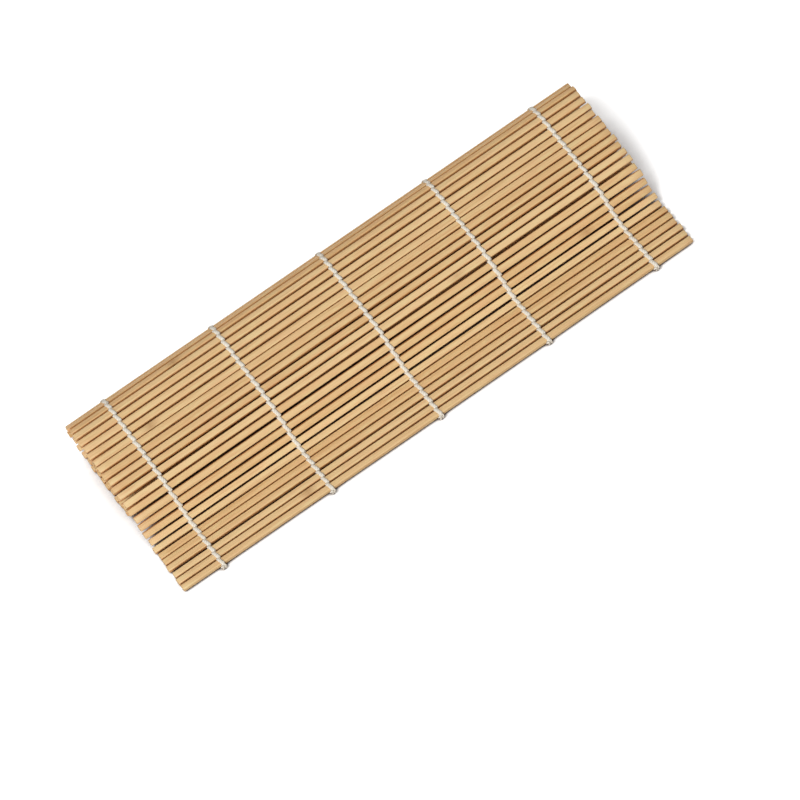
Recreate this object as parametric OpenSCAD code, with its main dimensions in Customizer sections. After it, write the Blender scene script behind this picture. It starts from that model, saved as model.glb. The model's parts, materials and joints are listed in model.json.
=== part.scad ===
/* [Sticks] */
// Length of every stick
stick_l = 240; // [160:1:320]
// Width of a stick across the mat
stick_w = 2.6; // [2.2:0.05:3.4]
// Thickness of a stick
stick_t = 2; // [1.6:0.05:2.6]
// Radius of a stick's long edges
edge_r = 0.7; // [0.4:0.05:0.75]
// How far a stick's ends stand out of line at most
end_scatter = 0.3; // [0:0.05:2]
// How many sticks lie inward of the one under the roll
inner_count = 15; // [14:1:16]
// How many sticks lie outward of it, as far as the free edge
outer_count = 35; // [33:1:35]

/* [Binding cords] */
// Distance from an end cord to the ends of the sticks
end_margin = 18; // [12:1:30]
// Width of a strand, along the sticks
strand_w = 1; // [0.6:0.05:1.4]
// Thickness of a strand
strand_t = 0.52; // [0.4:0.02:0.6]
// Room on each side of a strand where it goes between two sticks
strand_room = 0.24; // [0.22:0.01:0.4]
// Clearance of a strand over the flat of a stick
strand_clear = 0.1; // [0.06:0.01:0.3]
// Clearance between the two strands where they pass each other
pair_clear = 0.12; // [0.06:0.01:0.3]
// Clearance between a strand's end and its knot
knot_clear = 0.02; // [0.01:0.01:0.1]

/* [Roll] */
// Length of the bed that lies under the roll, on the far side
bed_far = 11; // [9:0.5:14]
// Length of the bed that lies under the roll, on the near side
bed_near = 11; // [9:0.5:14]
// Radius of the inner turn's near bend
near_r = 6; // [5.8:0.1:7]
// How far the inner turn's near bend goes round, in degrees
near_turn = 170; // [160:1:172]
// Radius of the run that ends the inner turn
curl_r = 34; // [30:1:40]
// How far the outer turn's far bend reaches past the bed
far_reach = 13; // [11:0.5:15]
// Clearance between the cords of two turns that lie on each other
turn_clear = 0.9; // [0.7:0.05:1.5]
// How far the outer turn falls over the top of the roll, in degrees
fall = 7; // [6:0.5:9]
// Radius of the shoulder at the near side
shoulder_r = 22; // [20:1:30]
// Steepest slope of the near side, in degrees
steep = 52; // [42:1:56]
// Radius of the bend where the near side runs out on the table
flare_r = 8; // [7:0.5:12]

/* [Hidden] */
cord_count = 5;
half_turn = 180;
stick_count = inner_count + 1 + outer_count;
stick_names = [for (k = [1:stick_count]) str("stick_", k < 10 ? "0" : "", k)];
cord_names = [for (c = [1:cord_count]) str("binding_cord_", c)];
small_names = ["floor_stitches", "edge_knots_inner", "edge_knots_outer"];

bamboo = "#dcb880";
cotton = "#eee8da";
// segments in the rounding of a stick's edge
edge_steps = 3;

cord_spacing = (stick_l - 2 * end_margin) / (cord_count - 1);
// one stick and the gap that a strand goes through
pitch = stick_w + strand_t + 2 * strand_room;
// height of a strand's middle over the middle of a stick
strand_h = stick_t / 2 + strand_clear + strand_t / 2;
// height of a cord's outer face over the middle of a stick
cord_h = strand_h + strand_t / 2;
// where a strand turns down past a stick's edge
turn_s = stick_w / 2 + strand_clear / 2;
// how far to the side of its line a strand lies
strand_side = (strand_w + pair_clear) / 2;
// distance between the middles of two turns that lie on each other
turn_gap = 2 * cord_h + turn_clear;
// the mat's middle over the table where it lies flat
base_z = cord_h;

// Points on the roll's middle line are [y, z], before the origin is moved under the middle.
far_y = -pitch / 2 - bed_far;
near_y = pitch / 2 + bed_near;

// the outer turn's top falls in a straight run to a point over the near bend
near_mid = [near_y, base_z + near_r];
fall_end = near_mid + (near_r + turn_gap) * [sin(fall), cos(fall)];
// the far bend is part of an ellipse, from the bed to where it meets the run over the top
top_h = fall_end[1] + (fall_end[0] - far_y) * tan(fall) - base_z;
far_b = (top_h - pow(far_reach * tan(fall), 2) / top_h) / 2;
bend_turn = half_turn + atan(far_reach / far_b * tan(fall));
steep_start = fall_end + shoulder_r * [sin(steep) - sin(fall), cos(steep) - cos(fall)];
steep_l = (steep_start[1] - base_z - flare_r * (1 - cos(steep))) / sin(steep);
flare_start = steep_start + steep_l * [cos(steep), -sin(steep)];
shoulder_l = shoulder_r * (steep - fall) * PI / half_turn;
flare_l = flare_r * steep * PI / half_turn;
near_l = near_r * near_turn * PI / half_turn;
curl_start = near_mid + near_r * [sin(near_turn), -cos(near_turn)];

// the outer turn's middle line, from the bed over the far side and the top to the free edge
function far_bend(a) = [far_y - far_reach * sin(a), base_z + far_b * (1 - cos(a))];
top_start = far_bend(bend_turn);
fall_l = norm(fall_end - top_start);
function top_run(u) = top_start + u * [cos(fall), -sin(fall)];
function shoulder(q) = fall_end + shoulder_r * [sin(q) - sin(fall), cos(q) - cos(fall)];
function flare(q) = flare_start + flare_r * [sin(steep) - sin(q), cos(steep) - cos(q)];
function outer_line(u) =
    u < bed_far ? [-pitch / 2 - u, base_z] :
    u < bed_far + bend_turn ? far_bend(u - bed_far) :
    after_bend(u - bed_far - bend_turn);
function after_bend(u) =
    u < fall_l ? top_run(u) :
    u < fall_l + shoulder_l ? shoulder(fall + (u - fall_l) / shoulder_l * (steep - fall)) :
    u < fall_l + shoulder_l + steep_l ?
        steep_start + (u - fall_l - shoulder_l) * [cos(steep), -sin(steep)] :
    run_out(u - fall_l - shoulder_l - steep_l);
function run_out(u) =
    u < flare_l ? flare(steep - u / flare_l * steep) :
    [flare_start[0] + flare_r * sin(steep) + u - flare_l, base_z];

// the inner turn's middle line, from the bed round the near bend to the inner edge
function near_bend(q) = near_mid + near_r * [sin(q), -cos(q)];
function curl(q) = curl_start + curl_r * [sin(q) - sin(near_turn), cos(near_turn) - cos(q)];
function inner_line(u) =
    u < bed_near ? [pitch / 2 + u, base_z] :
    u < bed_near + near_l ? near_bend((u - bed_near) / near_l * near_turn) :
    curl(near_turn + (u - bed_near - near_l) / curl_r * half_turn / PI);
function line_at(outward, u) = outward ? outer_line(u) : inner_line(u);

// the next hinge line is one pitch from the last, found by halving the stretch that holds it
longest_step = 60;
halvings = 34;
function next_u(outward, from, low, high, n) =
    n == 0 ? low :
    let (mid = (low + high) / 2)
    norm(line_at(outward, mid) - from) < pitch ?
        next_u(outward, from, mid, high, n - 1) :
        next_u(outward, from, low, mid, n - 1);
function hinges(outward, u, n) =
    let (p = line_at(outward, u))
    n == 0 ? [p] :
    concat([p], hinges(outward, next_u(outward, p, u, u + longest_step, halvings), n - 1));

outward = hinges(true, 0, outer_count);
inward = hinges(false, 0, inner_count);
// the hinge lines from the inner edge to the free edge: stick k lies between lines k - 1 and k
raw_line = concat([for (k = [0:inner_count]) inward[inner_count - k]], outward);
raw_dir = [for (k = [1:stick_count]) (raw_line[k] - raw_line[k - 1]) / pitch];
root = inner_count + 1;

function out_of(d) = [-d[1], d[0]];
function raw_mid(k) = (raw_line[k - 1] + raw_line[k]) / 2;
// a strand turns past a stick's edge at a mitre, whose outer corner lies a little further out
turn_dir = [pitch / 2 - turn_s, -strand_h] / norm([pitch / 2 - turn_s, -strand_h]);
mitre = strand_t / 2 * tan(acos(turn_dir[0]) / 2);
far_edge = min([for (k = [1:stick_count], s = [-1, 1])
    (raw_mid(k) + s * (turn_s + mitre) * raw_dir[k - 1] + cord_h * out_of(raw_dir[k - 1]))[0]]);
free_edge = raw_mid(stick_count)[0] + turn_s + knot_clear + cord_h;
mid_y = (far_edge + free_edge) / 2;

line = [for (p = raw_line) p - [mid_y, 0]];
function mid(k) = (line[k - 1] + line[k]) / 2;
function dir(k) = raw_dir[k - 1];
function heading(k) = atan2(dir(k)[1], dir(k)[0]);
function cord_x(c) = (c - (cord_count + 1) / 2) * cord_spacing;
// a point given along and out of stick k, as [y, z]
function on_stick(k, s, n) = mid(k) + s * dir(k) + n * out_of(dir(k));
// stick ends stand out of line by a steady scatter: a turn of this many degrees from stick to stick
scatter_turn = 137.5;
function end_shift(k) = end_scatter * sin(k * scatter_turn);

// what puts a shape drawn in [along, out] onto stick k, with its extrusion along the stick
module at_stick(k) {
    translate([0, mid(k)[0], mid(k)[1]])
        rotate([heading(k), 0, 0])
            rotate([90, 0, 90])
                children();
}

// section of a stick, with rounded edges
function stick_section() = [for (q = [0:3], i = [0:edge_steps])
    let (a = q * 90 + i * 90 / edge_steps,
        cx = (q == 0 || q == 3 ? 1 : -1) * (stick_w / 2 - edge_r),
        cy = (q < 2 ? 1 : -1) * (stick_t / 2 - edge_r))
    [cx + edge_r * cos(a), cy + edge_r * sin(a)]];

module stick(k) {
    color(bamboo)
        at_stick(k)
            translate([0, 0, end_shift(k)])
                linear_extrude(height = stick_l, center = true)
                    polygon(stick_section());
}

// Strand 1 lies over stick 1 and strand -1 under it, and they change over at every gap.
function over(strand, k) = strand * (k % 2 == 1 ? 1 : -1);
function side_at(strand, k) = -strand_side * over(strand, k);
// a strand's turning points on stick k, and the point between sticks k and k + 1, as [x, y, z]
function turn_point(strand, k, s) =
    let (p = on_stick(k, s * turn_s, over(strand, k) * strand_h))
    [side_at(strand, s > 0 ? k : k - 1), p[0], p[1]];
function gap_point(strand, k) = [side_at(strand, k), line[k][0], line[k][1]];
function strand_points(strand, first, last) = [for (k = [first:last], i = [0:2])
    if (i < 2 || k < last) i < 2 ? turn_point(strand, k, 2 * i - 1) : gap_point(strand, k)];
// the stretch of a strand from its second point on stick a to its first on stick b
function between(strand, a, b) = let (p = strand_points(strand, a, b)) [for (i = [1:len(p) - 2]) p[i]];

function flat_step(p, q) = [q[1] - p[1], q[2] - p[2]] / norm([q[1] - p[1], q[2] - p[2]]);
// a ring is square to the stick where a strand starts or ends, and mitred between two stretches
function ring(p, i, before, after) =
    let (n1 = i == 0 ? before : out_of(flat_step(p[i - 1], p[i])),
        n2 = i == len(p) - 1 ? after : out_of(flat_step(p[i], p[i + 1])),
        m = (n1 + n2) / norm(n1 + n2),
        t = strand_t / 2 / (m * n2))
    [for (c = [[-1, -1], [1, -1], [1, 1], [-1, 1]])
        [p[i][0] + c[0] * strand_w / 2, p[i][1] + c[1] * t * m[0], p[i][2] + c[1] * t * m[1]]];

// a tube of four sides through the points, with its ends mitred to what they meet
module strand_tube(p, before, after) {
    n = len(p);
    points = [for (i = [0:n - 1], c = ring(p, i, before, after)) c];
    sides = [for (i = [0:n - 2], j = [0:3])
        let (a = 4 * i + j, b = 4 * i + (j + 1) % 4)
        each [[a, a + 4, b + 4], [a, b + 4, b]]];
    polyhedron(points, concat([[0, 1, 2], [0, 2, 3]], sides,
        [[4 * n - 1, 4 * n - 2, 4 * n - 3], [4 * n - 1, 4 * n - 3, 4 * n - 4]]));
}

// the direction out of a strand just before and just after stick k, on its way through the gaps
function out_before(strand, k) = out_of(flat_step(gap_point(strand, k - 1), turn_point(strand, k, -1)));
function out_after(strand, k) = out_of(flat_step(turn_point(strand, k, 1), gap_point(strand, k)));

// A cord is two strands. The one under the root stick is left out there for the floor stitch.
module binding_cord(c) {
    under = over(1, root);
    ends = [out_of(dir(1)), out_of(dir(stick_count))];
    color(cotton)
        translate([cord_x(c), 0, 0]) {
            strand_tube(strand_points(-under, 1, stick_count), ends[0], ends[1]);
            strand_tube(concat([turn_point(under, 1, -1)], between(under, 1, root)), ends[0], out_of(dir(root)));
            strand_tube(concat(between(under, root, stick_count), [turn_point(under, stick_count, 1)]),
                out_of(dir(root)), ends[1]);
        }
}

// The stretches of strand that bear on the table, under the root stick.
module floor_stitches() {
    under = over(1, root);
    color(cotton)
        for (c = [1:cord_count])
            translate([cord_x(c), 0, 0])
                strand_tube([turn_point(under, root, -1), turn_point(under, root, 1)],
                    out_before(under, root), out_after(under, root));
}

// The knot that ties a cord's two strands round the edge of an end stick: a half disc on its side.
module edge_knot(k, way) {
    at_stick(k)
        linear_extrude(height = 2 * strand_side + strand_w, center = true)
            translate([way * (turn_s + knot_clear), 0])
                intersection() {
                    circle(r = cord_h, $fn = 48);
                    translate([way > 0 ? 0 : -2 * cord_h, -cord_h])
                        square(2 * cord_h);
                }
}

module edge_knots_inner() {
    color(cotton)
        for (c = [1:cord_count])
            translate([cord_x(c), 0, 0])
                edge_knot(1, -1);
}

module edge_knots_outer() {
    color(cotton)
        for (c = [1:cord_count])
            translate([cord_x(c), 0, 0])
                edge_knot(stick_count, 1);
}

for (k = [1:stick_count])
    stick(k);
for (c = [1:cord_count])
    binding_cord(c);
floor_stitches();
edge_knots_inner();
edge_knots_outer();
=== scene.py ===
"""Dresses the sushi rolling mat: split bamboo sticks bound side by side with cotton cords."""
import json
import math

import bpy
import numpy as np
from mathutils import Matrix, Vector


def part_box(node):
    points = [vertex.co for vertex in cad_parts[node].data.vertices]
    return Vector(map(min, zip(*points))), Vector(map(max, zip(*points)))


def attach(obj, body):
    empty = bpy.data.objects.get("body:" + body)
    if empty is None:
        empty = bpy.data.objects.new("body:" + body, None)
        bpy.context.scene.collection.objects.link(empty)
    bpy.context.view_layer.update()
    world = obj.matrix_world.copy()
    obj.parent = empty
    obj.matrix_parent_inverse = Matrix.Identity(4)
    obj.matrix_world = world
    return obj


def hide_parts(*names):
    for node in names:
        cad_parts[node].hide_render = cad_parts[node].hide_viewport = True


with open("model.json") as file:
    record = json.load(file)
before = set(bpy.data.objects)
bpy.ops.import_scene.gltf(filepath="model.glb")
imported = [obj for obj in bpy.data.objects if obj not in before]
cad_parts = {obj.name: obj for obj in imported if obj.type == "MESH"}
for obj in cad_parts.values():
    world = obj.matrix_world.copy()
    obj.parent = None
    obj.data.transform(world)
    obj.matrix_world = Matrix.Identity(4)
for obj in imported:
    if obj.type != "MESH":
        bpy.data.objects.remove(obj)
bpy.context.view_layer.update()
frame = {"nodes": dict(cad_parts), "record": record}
body_of_node = {
    member: body
    for body, members in frame["record"]["behaviour"]["bodies"].items()
    for member in members}

# The camera looks down on the roll from the side of its free edge, as the photograph does. It is
# 2.2 m away behind a long lens, so the mat shows almost without perspective.
camera_at = Vector((0.2512, 1.2538, 1.8471))
camera_heading = math.radians(-11.18)
camera_dip = math.radians(55.87)
camera_roll = math.radians(-25.27)
# the focal length in pixels of a picture 800 pixels wide, and the film's width in millimetres
focal_pixels = 5759.7
picture_pixels = 800
film_width = 36
camera = bpy.data.objects.new("camera", bpy.data.cameras.new("camera"))
bpy.context.scene.collection.objects.link(camera)
bpy.context.scene.camera = camera
camera.data.lens = focal_pixels * film_width / picture_pixels
camera.data.sensor_width = film_width
look = Vector((
    math.cos(camera_dip) * math.sin(camera_heading),
    -math.cos(camera_dip) * math.cos(camera_heading),
    -math.sin(camera_dip)))
level = look.cross(Vector((0, 0, 1))).normalized()
rise = level.cross(look)
right = level * math.cos(camera_roll) + rise * math.sin(camera_roll)
above = rise * math.cos(camera_roll) - level * math.sin(camera_roll)
camera.matrix_world = Matrix.Translation(camera_at) @ Matrix((
    (right.x, above.x, -look.x),
    (right.y, above.y, -look.y),
    (right.z, above.z, -look.z))).to_4x4()

# The sticks: strips of bamboo, split and drawn through a die, so their long edges are round.
# They come out a little uneven in width, not quite straight, and cut off square at the ends.


def linear(code):
    """The linear colour of an sRGB hex code: each channel c is ((c + 0.055) / 1.055) ** 2.4."""
    c = np.array([int(code[i:i + 2], 16) for i in (1, 3, 5)]) / 255
    c = np.where(c <= 0.04045, c / 12.92, ((c + 0.055) / 1.055) ** 2.4)
    return (*c.tolist(), 1.0)


def add_node(tree, kind, inputs, **settings):
    """Adds a node. A socket among its inputs is linked to it, and any other value is set."""
    made = tree.nodes.new(kind)
    for key, value in settings.items():
        setattr(made, key, value)
    for key, value in inputs.items():
        if isinstance(value, bpy.types.NodeSocket):
            tree.links.new(value, made.inputs[key])
        else:
            made.inputs[key].default_value = value
    return made


def closed_tubes(name, rings, lengths):
    """A mesh of closed tubes. rings[t, i, j] is point j round ring i of tube t, counter-clockwise
    as seen from the far end, and lengths[t, i] is how far along its tube a ring lies. Each tube is
    closed at both ends on the mean point of its end ring. The UV map holds that length in
    millimetres and the part of a turn."""
    count, steps, around = rings.shape[:3]
    ends = np.stack([rings[:, 0].mean(1), rings[:, -1].mean(1)], 1)
    points = np.concatenate([rings.reshape(-1, 3), ends.reshape(-1, 3)])
    index = np.arange(count * steps * around).reshape(count, steps, around)
    after = np.roll(index, -1, axis=2)
    middle = count * steps * around + np.arange(count * 2).reshape(count, 2)
    sides = np.stack([index[:, :-1], after[:, :-1], after[:, 1:], index[:, 1:]], -1).reshape(-1, 4)
    start = np.stack([
        np.broadcast_to(middle[:, :1], (count, around)), after[:, 0], index[:, 0]], -1)
    finish = np.stack([
        np.broadcast_to(middle[:, 1:], (count, around)), index[:, -1], after[:, -1]], -1)
    caps = np.concatenate([start.reshape(-1, 3), finish.reshape(-1, 3)])
    mesh = bpy.data.meshes.new(name)
    mesh.from_pydata(points.tolist(), [], sides.tolist() + caps.tolist())
    turn = np.broadcast_to(np.arange(around) / around, (count, steps - 1, around))
    low = np.broadcast_to(lengths[:, :-1, None] * 1000, turn.shape)
    high = np.broadcast_to(lengths[:, 1:, None] * 1000, turn.shape)
    next_turn = turn + 1 / around
    side_uv = np.stack([low, turn, low, next_turn, high, next_turn, high, turn], -1).reshape(-1)
    cap_uv = np.zeros((len(caps) * 3, 2))
    cap_uv[:, 0] = np.repeat(np.concatenate([
        np.repeat(lengths[:, 0], around), np.repeat(lengths[:, -1], around)]) * 1000, 3)
    mesh.uv_layers.new(name="strand").data.foreach_set(
        "uv", np.concatenate([side_uv, cap_uv.reshape(-1)]).astype(np.float32))
    mesh.polygons.foreach_set("use_smooth", np.ones(len(mesh.polygons), bool))
    mesh.validate()
    mesh.update()
    piece = bpy.data.objects.new(name, mesh)
    bpy.context.scene.collection.objects.link(piece)
    return piece


def paint_points(piece, label, values):
    """Stores one number for each point of a piece's mesh, for its material to read."""
    piece.data.attributes.new(label, "FLOAT", "POINT").data.foreach_set(
        "value", np.asarray(values, np.float32))


# Split bamboo, drawn and left bare: satin, straw to tan, with long darker fibres and no lacquer.
bamboo = bpy.data.materials.new("bare_split_bamboo")
bamboo.use_nodes = True
bamboo.node_tree.nodes.clear()
tree = bamboo.node_tree
place = add_node(tree, "ShaderNodeTexCoord", {}).outputs["Object"]
# streaks are about 0.8 mm across and 30 mm long, and fibres 0.2 mm across and 9 mm long
streak = add_node(tree, "ShaderNodeTexNoise", {
    "Vector": add_node(tree, "ShaderNodeMapping", {
        "Vector": place, "Scale": (33, 1250, 1250)}).outputs[0],
    "Scale": 1, "Detail": 3, "Roughness": 0.55}).outputs["Fac"]
fibre = add_node(tree, "ShaderNodeTexNoise", {
    "Vector": add_node(tree, "ShaderNodeMapping", {
        "Vector": place, "Scale": (110, 5000, 5000)}).outputs[0],
    "Scale": 1, "Detail": 3, "Roughness": 0.6}).outputs["Fac"]
# stains are patches of about 7 mm by 1.3 mm, redder or paler than the rest
stain = add_node(tree, "ShaderNodeTexNoise", {
    "Vector": add_node(tree, "ShaderNodeMapping", {
        "Vector": place, "Scale": (140, 770, 770)}).outputs[0],
    "Scale": 1, "Detail": 2, "Roughness": 0.5}).outputs["Fac"]
tone = add_node(tree, "ShaderNodeAttribute", {}, attribute_name="tone").outputs["Fac"]
cut = add_node(tree, "ShaderNodeAttribute", {}, attribute_name="cut").outputs["Fac"]
ring = add_node(tree, "ShaderNodeAttribute", {}, attribute_name="ring").outputs["Fac"]
painted_gap_shade = add_node(tree, "ShaderNodeAttribute", {}, attribute_name="painted_gap_shade").outputs["Fac"]
body_colour = add_node(tree, "ShaderNodeMix", {
    0: tone, 6: linear("#e6c591"), 7: linear("#dab179")}, data_type="RGBA").outputs[2]
streak_part = add_node(tree, "ShaderNodeMapRange", {
    "Value": streak, "From Min": 0.5, "From Max": 0.8, "To Min": 0.0, "To Max": 0.55}).outputs[0]
streaked = add_node(tree, "ShaderNodeMix", {
    0: streak_part, 6: body_colour, 7: linear("#bb8648")}, data_type="RGBA").outputs[2]
fibre_part = add_node(tree, "ShaderNodeMapRange", {
    "Value": fibre, "From Min": 0.52, "From Max": 0.75, "To Min": 0.0, "To Max": 0.4}).outputs[0]
fibrous = add_node(tree, "ShaderNodeMix", {
    0: fibre_part, 6: streaked, 7: linear("#bf9252")}, data_type="RGBA").outputs[2]
stain_part = add_node(tree, "ShaderNodeMapRange", {
    "Value": stain, "From Min": 0.5, "From Max": 0.7, "To Min": 0.0, "To Max": 0.32}).outputs[0]
stained = add_node(tree, "ShaderNodeMix", {
    0: stain_part, 6: fibrous, 7: linear("#dca678")}, data_type="RGBA").outputs[2]
pale_part = add_node(tree, "ShaderNodeMapRange", {
    "Value": stain, "From Min": 0.46, "From Max": 0.3, "To Min": 0.0, "To Max": 0.35}).outputs[0]
paled = add_node(tree, "ShaderNodeMix", {
    0: pale_part, 6: stained, 7: linear("#e4d198")}, data_type="RGBA").outputs[2]
# painted shade: the split sides that face a neighbouring stick are painted browner than the
# drawn faces, for the shade that falls in the gaps between the sticks
gap_shaded = add_node(tree, "ShaderNodeMix", {
    0: painted_gap_shade, 6: paled, 7: linear("#c47a34")}, data_type="RGBA").outputs[2]
ringed = add_node(tree, "ShaderNodeMix", {
    0: ring, 6: gap_shaded, 7: linear("#9a6a35")}, data_type="RGBA").outputs[2]
# the cut ends show the fibre bundles as dark dots, drawn coarse at 0.4 mm apart so that they show
dots = add_node(tree, "ShaderNodeTexVoronoi", {
    "Vector": add_node(tree, "ShaderNodeMapping", {
        "Vector": place, "Scale": (50, 2500, 2500)}).outputs[0],
    "Scale": 1}).outputs["Distance"]
dot_part = add_node(tree, "ShaderNodeMapRange", {
    "Value": dots, "From Min": 0.2, "From Max": 0.5, "To Min": 1.0, "To Max": 0.0}).outputs[0]
end_grain = add_node(tree, "ShaderNodeMix", {
    0: dot_part, 6: linear("#d8b176"), 7: linear("#7e5026")}, data_type="RGBA").outputs[2]
whole = add_node(tree, "ShaderNodeMix", {
    0: cut, 6: ringed, 7: end_grain}, data_type="RGBA").outputs[2]
relief = add_node(tree, "ShaderNodeMath", {0: streak, 1: fibre}, operation="ADD").outputs[0]
grain = add_node(tree, "ShaderNodeBump", {
    "Strength": 0.5, "Distance": 0.00006, "Height": relief}).outputs[0]
sheen_of_fibres = add_node(tree, "ShaderNodeMapRange", {
    "Value": fibre, "From Min": 0.3, "From Max": 0.7, "To Min": 0.42, "To Max": 0.62}).outputs[0]
surface = add_node(tree, "ShaderNodeBsdfPrincipled", {
    "Base Color": whole, "Roughness": sheen_of_fibres, "Normal": grain, "IOR": 1.5}).outputs[0]
add_node(tree, "ShaderNodeOutputMaterial", {"Surface": surface})

stick_names = sorted(n for n in frame["nodes"] if n.startswith("stick_"))
stick_count = len(stick_names)
stick_l = 0.24
stick_w = 0.0026
stick_t = 0.002
pitch = 0.0036


def node_points(name):
    """All the points of a CAD node, in metres, as rows of x, y, z."""
    co = np.zeros(len(frame["nodes"][name].data.vertices) * 3, np.float32)
    frame["nodes"][name].data.vertices.foreach_get("co", co)
    return co.reshape(-1, 3).astype(float)


# each stick's middle, and the way across it and out of it, worked out from the CAD stick's corners
spans = [(node_points(n).min(0), node_points(n).max(0)) for n in stick_names]
middles = np.array([(low + high) / 2 for low, high in spans])
chain = np.gradient(middles[:, 1:], axis=0)


def across(name, onward):
    """The unit direction of a stick's width: the eigenvector of its section's spread with the
    larger share, turned to the side of the next stick."""
    section = node_points(name)[:, 1:]
    section = section - section.mean(0)
    values, vectors = np.linalg.eigh(section.T @ section)
    wide = vectors[:, np.argmax(values)]
    return wide * np.sign(wide @ onward)


widths = np.array([across(n, c) for n, c in zip(stick_names, chain)])
outs = np.stack([-widths[:, 1], widths[:, 0]], 1)


def on_stick(k, x, s, n):
    """Points beside stick k: x along it, s across it towards the free edge and n out of it, as
    middle + s * width direction + n * out direction."""
    x, s, n = np.broadcast_arrays(x, s, n)
    y = middles[k, 1] + s * widths[k, 0] + n * outs[k, 0]
    z = middles[k, 2] + s * widths[k, 1] + n * outs[k, 1]
    return np.stack([x, y, z], -1)


scatter = np.random.default_rng(31)
stick_steps = 56
stick_around = 28
# how square the section is: a superellipse of this power
squareness = 5.0
# a cut end is three rings, this far from the end and of this size: the last full one, and two
# smaller ones that round the rim
rim_in = np.array([0.00025, 0.00006, 0.0])
rim_shrink = np.array([1.0, 0.93, 0.45])
# the width beside the plain one: its mean, its least and most change from stick to stick, and the
# height and number of two waves along the stick, of 185 and 65 mm. The thickness has one wave.
width_mean, width_less, width_more = 1.07, -0.07, 0.05
slow_swell, slow_waves = 0.018, 1.3
fast_swell, fast_waves = 0.01, 3.7
thick_swell, thick_waves = 0.012, 2.1
# the most, in metres, that a stick bows, leans and lies beside its place, and how ragged its ends
# are, with the part of that which the three rings take
bow_most = 0.0001
lean_most = 0.0002
shift_most = 0.00014
ragged_most = 0.00012
ragged_rings = np.array([1, 1, 0.3])
# one stick in three shows a joint of the cane: a low ring, a little darker
joint_share = 0.33
joint_length = 0.0009
joint_height = 0.00006
joint_dark = 0.55
# the painted gap shade on a split side is at most this strong, and it sets in at this part of
# the half width
painted_gap_shade_most = 0.5
painted_gap_shade_from = 0.93
painted_gap_shade_rise = 0.06
turn = np.linspace(0, 2 * math.pi, stick_around, endpoint=False)
section_s = np.sign(np.cos(turn)) * np.abs(np.cos(turn)) ** (2 / squareness)
section_n = np.sign(np.sin(turn)) * np.abs(np.sin(turn)) ** (2 / squareness)
for k, name in enumerate(stick_names):
    x_low, x_high = spans[k][0][0], spans[k][1][0]
    inner = np.linspace(x_low + rim_in[0], x_high - rim_in[0], stick_steps)
    x = np.concatenate([x_low + rim_in[:0:-1], inner, x_high - rim_in[1:]])
    shrink = np.concatenate([rim_shrink[:0:-1], np.ones(stick_steps), rim_shrink[1:]])
    u = (x - x_low) / (x_high - x_low)
    phase = scatter.uniform(0, 2 * math.pi, 6)
    half_w = stick_w / 2 * (
        width_mean + scatter.uniform(width_less, width_more)
        + slow_swell * np.sin(2 * math.pi * slow_waves * u + phase[0])
        + fast_swell * np.sin(2 * math.pi * fast_waves * u + phase[1]))
    half_t = stick_t / 2 * (
        1 + thick_swell * np.sin(2 * math.pi * thick_waves * u + phase[2]) - thick_swell)
    bow = bow_most * np.sin(math.pi * u * scatter.uniform(0.8, 2.2) + phase[3])
    lean = lean_most * scatter.uniform(-1, 1) ** 3 * (2 * u - 1)
    side = bow + lean + scatter.uniform(-shift_most, shift_most)
    joint_at = scatter.uniform(0.1, 0.9)
    has_joint = scatter.uniform() < joint_share
    joint = np.exp(-((x - x_low - joint_at * stick_l) / joint_length) ** 2) * has_joint
    half_w = half_w + joint_height * joint
    s = side[:, None] + (half_w * shrink)[:, None] * section_s
    n = (half_t * shrink)[:, None] * section_n
    ragged = np.abs(scatter.uniform(-ragged_most, ragged_most, (2, stick_around)))
    xs = np.repeat(x[:, None], stick_around, axis=1)
    xs[:3] += ragged[0] * ragged_rings[:, None]
    xs[-3:] -= ragged[1] * ragged_rings[::-1, None]
    rings = on_stick(k, xs, s, n)[None]
    piece = closed_tubes("split_" + name, rings, (x - x_low)[None])
    points = rings.shape[1] * stick_around
    paint_points(piece, "tone", np.full(points + 2, scatter.beta(2, 2.2)))
    at_end = np.repeat(shrink < 1, stick_around).astype(float)
    paint_points(piece, "cut", np.concatenate([at_end, [1, 1]]))
    # the outer sides of the first and the last stick face no neighbour, so they get no painted shade
    inner_side = np.where(section_s > 0, k < stick_count - 1, k > 0)
    gap_shade_part = np.clip((np.abs(section_s) - painted_gap_shade_from) / painted_gap_shade_rise, 0, 1)
    gap_shade_part = painted_gap_shade_most * gap_shade_part * inner_side
    paint_points(piece, "painted_gap_shade", np.concatenate([np.tile(gap_shade_part, rings.shape[1]), [0, 0]]))
    ring_part = joint_dark * np.repeat(joint, stick_around)
    paint_points(piece, "ring", np.concatenate([ring_part, [0, 0]]))
    piece.data.materials.append(bamboo)
    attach(piece, body_of_node[name])
    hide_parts(name)

# The binding cords: each is two soft cotton threads, twined by hand or machine round every stick.
# A thread goes over one stick and under the next, and the two cross in each gap, always with the
# same hand, so that every stick shows one slanting lump. A stitch moves with the stick it is on.

# Soft cotton thread of two plies, unbleached: matt and cream, with slanting plies and fuzz.
cotton = bpy.data.materials.new("unbleached_cotton_thread")
cotton.use_nodes = True
cotton.node_tree.nodes.clear()
tree = cotton.node_tree
thread = add_node(tree, "ShaderNodeUVMap", {}, uv_map="strand").outputs[0]
place = add_node(tree, "ShaderNodeTexCoord", {}).outputs["Object"]
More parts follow.
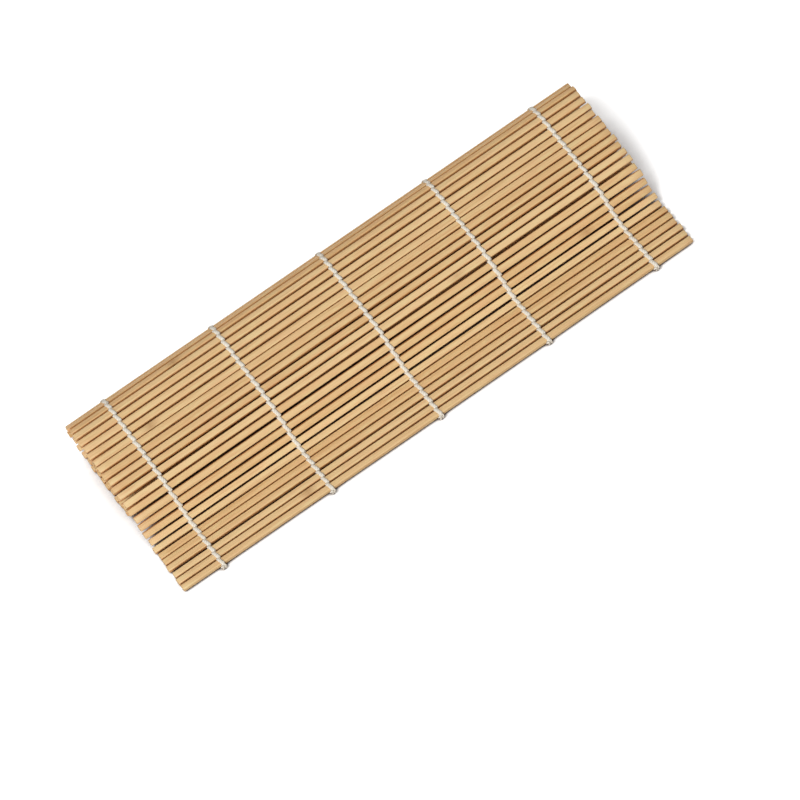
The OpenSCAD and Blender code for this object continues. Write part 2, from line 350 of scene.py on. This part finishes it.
# the plies slant round the thread, about two to a turn and 1.1 mm apart along it, and the fuzz is
# in specks of 0.2 mm
plies = add_node(tree, "ShaderNodeTexWave", {
    "Vector": add_node(tree, "ShaderNodeMapping", {
        "Vector": thread, "Rotation": (0, 0, 0.9), "Scale": (0.45, 0.9, 1)}).outputs[0],
    "Scale": 1, "Distortion": 1.2, "Detail": 2, "Detail Scale": 2}).outputs["Fac"]
fuzz = add_node(tree, "ShaderNodeTexNoise", {
    "Vector": place, "Scale": 5200, "Detail": 3, "Roughness": 0.7}).outputs["Fac"]
# painted shade: the grooves between the plies are painted a darker grey-green than the cream thread
ply_groove_shade = add_node(tree, "ShaderNodeMapRange", {
    "Value": plies, "From Min": 0.0, "From Max": 0.45, "To Min": 0.35, "To Max": 0.0}).outputs[0]
groove_shaded = add_node(tree, "ShaderNodeMix", {
    0: ply_groove_shade, 6: linear("#ebe4d7"), 7: linear("#b7ae92")}, data_type="RGBA").outputs[2]
dulled = add_node(tree, "ShaderNodeMapRange", {
    "Value": fuzz, "From Min": 0.5, "From Max": 0.8, "To Min": 0.0, "To Max": 0.3}).outputs[0]
thread_colour = add_node(tree, "ShaderNodeMix", {
    0: dulled, 6: groove_shaded, 7: linear("#cfc6ac")}, data_type="RGBA").outputs[2]
relief = add_node(tree, "ShaderNodeMath", {0: plies, 1: fuzz}, operation="ADD").outputs[0]
nap = add_node(tree, "ShaderNodeBump", {
    "Strength": 0.5, "Distance": 0.00008, "Height": relief}).outputs[0]
surface = add_node(tree, "ShaderNodeBsdfPrincipled", {
    "Base Color": thread_colour, "Roughness": 0.9, "Normal": nap,
    "Sheen Weight": 0.3, "Sheen Roughness": 0.5}).outputs[0]
add_node(tree, "ShaderNodeOutputMaterial", {"Surface": surface})

cord_names = sorted(n for n in frame["nodes"] if n.startswith("binding_cord_"))
cord_x = np.array([(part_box(n)[0].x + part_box(n)[1].x) / 2 for n in cord_names])
# the two threads of a cord lie this far to each side of its line in the gaps
thread_side = 0.00042
thread_w = 0.00158
thread_t = 0.0006
# height of a thread's middle over the middle of a stick, over it and under it
thread_over = 0.001275
thread_under = 0.00125
# how much flatter a thread is under a stick, and how blunt its hump is: the power of the sine
thread_flat = 0.9
hump_power = 0.36
# where it dives into a gap, it goes this much aside and this much onward for each part down
dive_aside = 0.2
dive_onward = 0.35
# the two plies are two lobes of the section: how deep they are, and how fast they turn round it
ply_depth = 0.07
ply_turn = 2.6
# the rounded tip of a stitch, hidden in the gap: its length and its size beside the last ring
tip_length = 0.00012
tip_size = 0.6
# length of thread for each length of cord
thread_take = 1.4
stitch_steps = 9
stitch_around = 8
stitch_turn = np.linspace(0, 2 * math.pi, stitch_around, endpoint=False)


def stitch_rings(k, x, side, height, wide, thick):
    """Rings of one stitch on stick k. Its line goes from gap to gap as s = -cos(a) * pitch / 2 and
    n = height * sin(a) ** hump_power, while x goes from one side of the cord to the other as
    cos(a) does. The ring is an ellipse across that line, with two lobes that turn as it goes on,
    and it is pinched where the thread dips into the gaps."""
    a = np.linspace(0, math.pi, stitch_steps)
    s = -np.cos(a) * pitch / 2
    n = height * np.abs(np.sin(a)) ** hump_power
    xs = x + side * thread_side * np.cos(a)
    line = np.stack([xs, s, n], -1)
    along = np.gradient(line, axis=0)
    along[0] = (-side * dive_aside, dive_onward, math.copysign(1, height))
    along[-1] = (-side * dive_aside, dive_onward, -math.copysign(1, height))
    along /= np.linalg.norm(along, axis=1)[:, None]
    aside = np.array([1.0, 0, 0]) - along * along[:, :1]
    aside /= np.linalg.norm(aside, axis=1)[:, None]
    up = np.cross(along, aside)
    fat = np.interp(np.sin(a), [0, 0.5, 1], [0.7, 0.95, 1.0])
    deep = np.interp(np.sin(a), [0, 0.5, 1], [1.3, 1.15, 1.0])
    lobes = 1 + ply_depth * np.cos(2 * stitch_turn[None] - ply_turn * a[:, None])
    points = (line[:, None]
        + aside[:, None] * (wide / 2 * fat[:, None] * lobes * np.cos(stitch_turn))[..., None]
        + up[:, None] * (thick / 2 * deep[:, None] * lobes * np.sin(stitch_turn))[..., None])
    first = line[0] - along[0] * tip_length + (points[0] - line[0]) * tip_size
    last = line[-1] + along[-1] * tip_length + (points[-1] - line[-1]) * tip_size
    points = np.concatenate([first[None], points, last[None]])
    return on_stick(k, points[..., 0], points[..., 1], points[..., 2])


def lengths_along(rings):
    """How far along its tube each ring lies: the running sum of the steps between the rings'
    middles."""
    steps = np.linalg.norm(np.diff(rings.mean(2), axis=1), axis=-1)
    return np.concatenate([np.zeros((len(rings), 1)), steps.cumsum(1)], 1)


for k, name in enumerate(stick_names):
    rings = []
    for x in cord_x:
        swell = scatter.uniform(0.93, 1.07, 2)
        rings.append(stitch_rings(
            k, x, 1, thread_over, thread_w * swell[0], thread_t * swell[0]))
        rings.append(stitch_rings(
            k, x, -1, -thread_under, thread_w * swell[1], thread_t * thread_flat))
    rings = np.array(rings)
    lengths = lengths_along(rings) + k * pitch * thread_take
    piece = closed_tubes("cord_stitches_" + name[-2:], rings, lengths)
    piece.data.materials.append(cotton)
    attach(piece, body_of_node[name])
    if k == 0:
        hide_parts(*cord_names)
    if "floor_stitches" in frame["record"]["behaviour"]["bodies"][body_of_node[name]]:
        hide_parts("floor_stitches")

# The knots: at each end of a cord its two threads go round the edge of the last stick and are tied
# with a small overhand knot, then cut off short.
knot_steps = 72
knot_around = 8
knot_turn = np.linspace(0, 2 * math.pi, knot_around, endpoint=False)
knot_size = 0.00078
knot_thread = 0.00034
# how far the knot's middle is past the side of the stick, and its depth and height beside its width
knot_out = 0.00075
knot_depth = 0.55
knot_height = 0.8


def knot_rings(k, x, way):
    """Rings of one knot, a tube along a trefoil: with t round the line, the radius is
    (2 + cos(3 t)) / 2.2, the turn is 2 t and the depth is sin(3 t), all times the knot's size."""
    t = np.linspace(0, 2 * math.pi, knot_steps + 1)
    radius = (2 + np.cos(3 * t)) * knot_size / 2.2
    line = np.stack([
        radius * np.cos(2 * t),
        way * np.sin(3 * t) * knot_size * knot_depth,
        radius * np.sin(2 * t) * knot_height], -1)
    hub = np.array([x, way * (stick_w / 2 + knot_out), 0])
    line += hub
    along = np.gradient(line, axis=0)
    along[0] = along[-1] = line[1] - line[-2]
    along /= np.linalg.norm(along, axis=1)[:, None]
    out = line - hub
    out -= along * (out * along).sum(1)[:, None]
    out /= np.linalg.norm(out, axis=1)[:, None]
    over = np.cross(along, out)
    points = (line[:, None] + out[:, None] * (knot_thread * np.cos(knot_turn))[:, None]
        + over[:, None] * (knot_thread * np.sin(knot_turn))[:, None])
    return on_stick(k, points[..., 0], points[..., 1], points[..., 2])


# a cut end of thread: where it leaves the knot, out from the stick and down, how far it goes aside,
# out and down from there, and its thickness
tail_from_out = 0.0007
tail_from_down = 0.0002
tail_aside = 0.0009
tail_out = 0.0004
tail_down = 0.0009
tail_thread = 0.0003


def tail_rings(k, x, way, lean):
    """Rings of one cut end of thread. With t from 0 in the knot to 1 at the cut, it goes aside as
    t, out as t ** 0.6 and down as t * t, and its radius grows as t ** 4, for the frayed cut."""
    t = np.linspace(0, 1, knot_steps + 1)
    line = np.stack([
        x + lean * tail_aside * t,
        way * (stick_w / 2 + tail_from_out + tail_out * t ** 0.6),
        -tail_from_down - tail_down * t * t], -1)
    along = np.gradient(line, axis=0)
    along /= np.linalg.norm(along, axis=1)[:, None]
    aside = np.cross(along, np.array([0, 0, 1.0]))
    aside /= np.linalg.norm(aside, axis=1)[:, None]
    over = np.cross(along, aside)
    radius = tail_thread * (0.85 + 0.5 * t ** 4)
    points = (line[:, None] + aside[:, None] * (radius[:, None] * np.cos(knot_turn))[..., None]
        + over[:, None] * (radius[:, None] * np.sin(knot_turn))[..., None])
    return on_stick(k, points[..., 0], points[..., 1], points[..., 2])


for k, way, node_name in ((0, -1, "edge_knots_inner"), (stick_count - 1, 1, "edge_knots_outer")):
    rings = []
    for x in cord_x:
        rings.append(knot_rings(k, x, way))
        rings.append(tail_rings(k, x, way, scatter.uniform(0.4, 1.0)))
        rings.append(tail_rings(k, x, way, -scatter.uniform(0.4, 1.0)))
    rings = np.array(rings)
    piece = closed_tubes("tied_" + node_name, rings, lengths_along(rings))
    piece.data.materials.append(cotton)
    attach(piece, body_of_node[node_name])
    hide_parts(node_name)

# The floor is a plain white table top, 6 m square. The light is that of a soft studio: a white room
# that shines weakly all round, and two large round lamps on the left.
reach = 3
floor_mesh = bpy.data.meshes.new("floor")
floor_mesh.from_pydata(
    [(-reach, -reach, 0), (reach, -reach, 0), (reach, reach, 0), (-reach, reach, 0)],
    [], [(0, 1, 2, 3)])
floor = bpy.data.objects.new("floor", floor_mesh)
bpy.context.scene.collection.objects.link(floor)


def seen_rays(tree):
    """1 for a camera, glossy or transmission ray and 0 for any other, as the largest of the three."""
    path = add_node(tree, "ShaderNodeLightPath", {})
    direct = add_node(tree, "ShaderNodeMath", {
        0: path.outputs["Is Camera Ray"], 1: path.outputs["Is Glossy Ray"]}, operation="MAXIMUM")
    return add_node(tree, "ShaderNodeMath", {
        0: direct.outputs[0], 1: path.outputs["Is Transmission Ray"]}, operation="MAXIMUM").outputs[0]


# The board is white to the eye and in reflections, but where the mat closes it in, in the gaps and
# under the roll, it is painted a dark brown shade. It sends less light back up to the mat. It glows
# a little where nothing is near over it, so that the shadow fades into plain white.
paint = bpy.data.materials.new("matt_white_board_with_painted_shade")
paint.use_nodes = True
paint.node_tree.nodes.clear()
tree = paint.node_tree
seen = seen_rays(tree)
# how open the board is to the sky within 30 mm: nearly 0 in the gaps of the mat and under the roll
open_part = add_node(tree, "ShaderNodeAmbientOcclusion", {"Distance": 0.03}, samples=8).outputs["AO"]
beside = add_node(tree, "ShaderNodeMapRange", {
    "Value": open_part, "From Min": 0.2, "From Max": 0.65}, interpolation_type="SMOOTHSTEP").outputs[0]
# painted shade: where the board is closed in, its face is painted dark brown to the eye
face = add_node(tree, "ShaderNodeMix", {
    0: beside, 6: linear("#5e4430"), 7: linear("#fefefe")}, data_type="RGBA").outputs[2]
board = add_node(tree, "ShaderNodeMix", {
    0: seen, 6: linear("#80664c"), 7: face}, data_type="RGBA").outputs[2]
matt = add_node(tree, "ShaderNodeBsdfDiffuse", {"Color": board}).outputs[0]
open_glow = add_node(tree, "ShaderNodeMapRange", {
    "Value": open_part, "From Min": 0.3, "From Max": 1.0, "To Min": 0.0, "To Max": 0.6},
    interpolation_type="SMOOTHSTEP").outputs[0]
glow = add_node(tree, "ShaderNodeMath", {0: open_glow, 1: seen}, operation="MULTIPLY").outputs[0]
shine = add_node(tree, "ShaderNodeEmission", {"Color": (1, 1, 1, 1), "Strength": glow}).outputs[0]
surface = add_node(tree, "ShaderNodeAddShader", {0: matt, 1: shine}).outputs[0]
add_node(tree, "ShaderNodeOutputMaterial", {"Surface": surface})
floor.data.materials.append(paint)

world = bpy.data.worlds.new("studio")
bpy.context.scene.world = world
world.use_nodes = True
world.node_tree.nodes.clear()
tree = world.node_tree
seen = seen_rays(tree)
# the room is white to the eye and in reflections, and its own light is soft and weak
room = add_node(tree, "ShaderNodeMapRange", {"Value": seen, "To Min": 0.35, "To Max": 1.0}).outputs[0]
surface = add_node(tree, "ShaderNodeBackground", {
    "Color": linear("#ffffff"), "Strength": room}).outputs[0]
add_node(tree, "ShaderNodeOutputWorld", {"Surface": surface})
# one lamp is high and one low and further in front: together they light every slope of the mat
# alike, and neither shines through the gaps along the camera's line
for lamp_name, at, watts in (
        ("high_lamp", Vector((1.5, -0.05, 3.1)), 52),
        ("low_lamp", Vector((1.5, 2.75, 1.2)), 54)):
    lamp = bpy.data.objects.new(lamp_name, bpy.data.lights.new(lamp_name, "AREA"))
    bpy.context.scene.collection.objects.link(lamp)
    lamp.data.shape = "DISK"
    lamp.data.size = 1.5
    lamp.data.energy = watts
    lamp.location = at
    lamp.rotation_mode = "QUATERNION"
    lamp.rotation_quaternion = (-at).to_track_quat("-Z", "Y")
bpy.context.scene.view_settings.view_transform = "Standard"
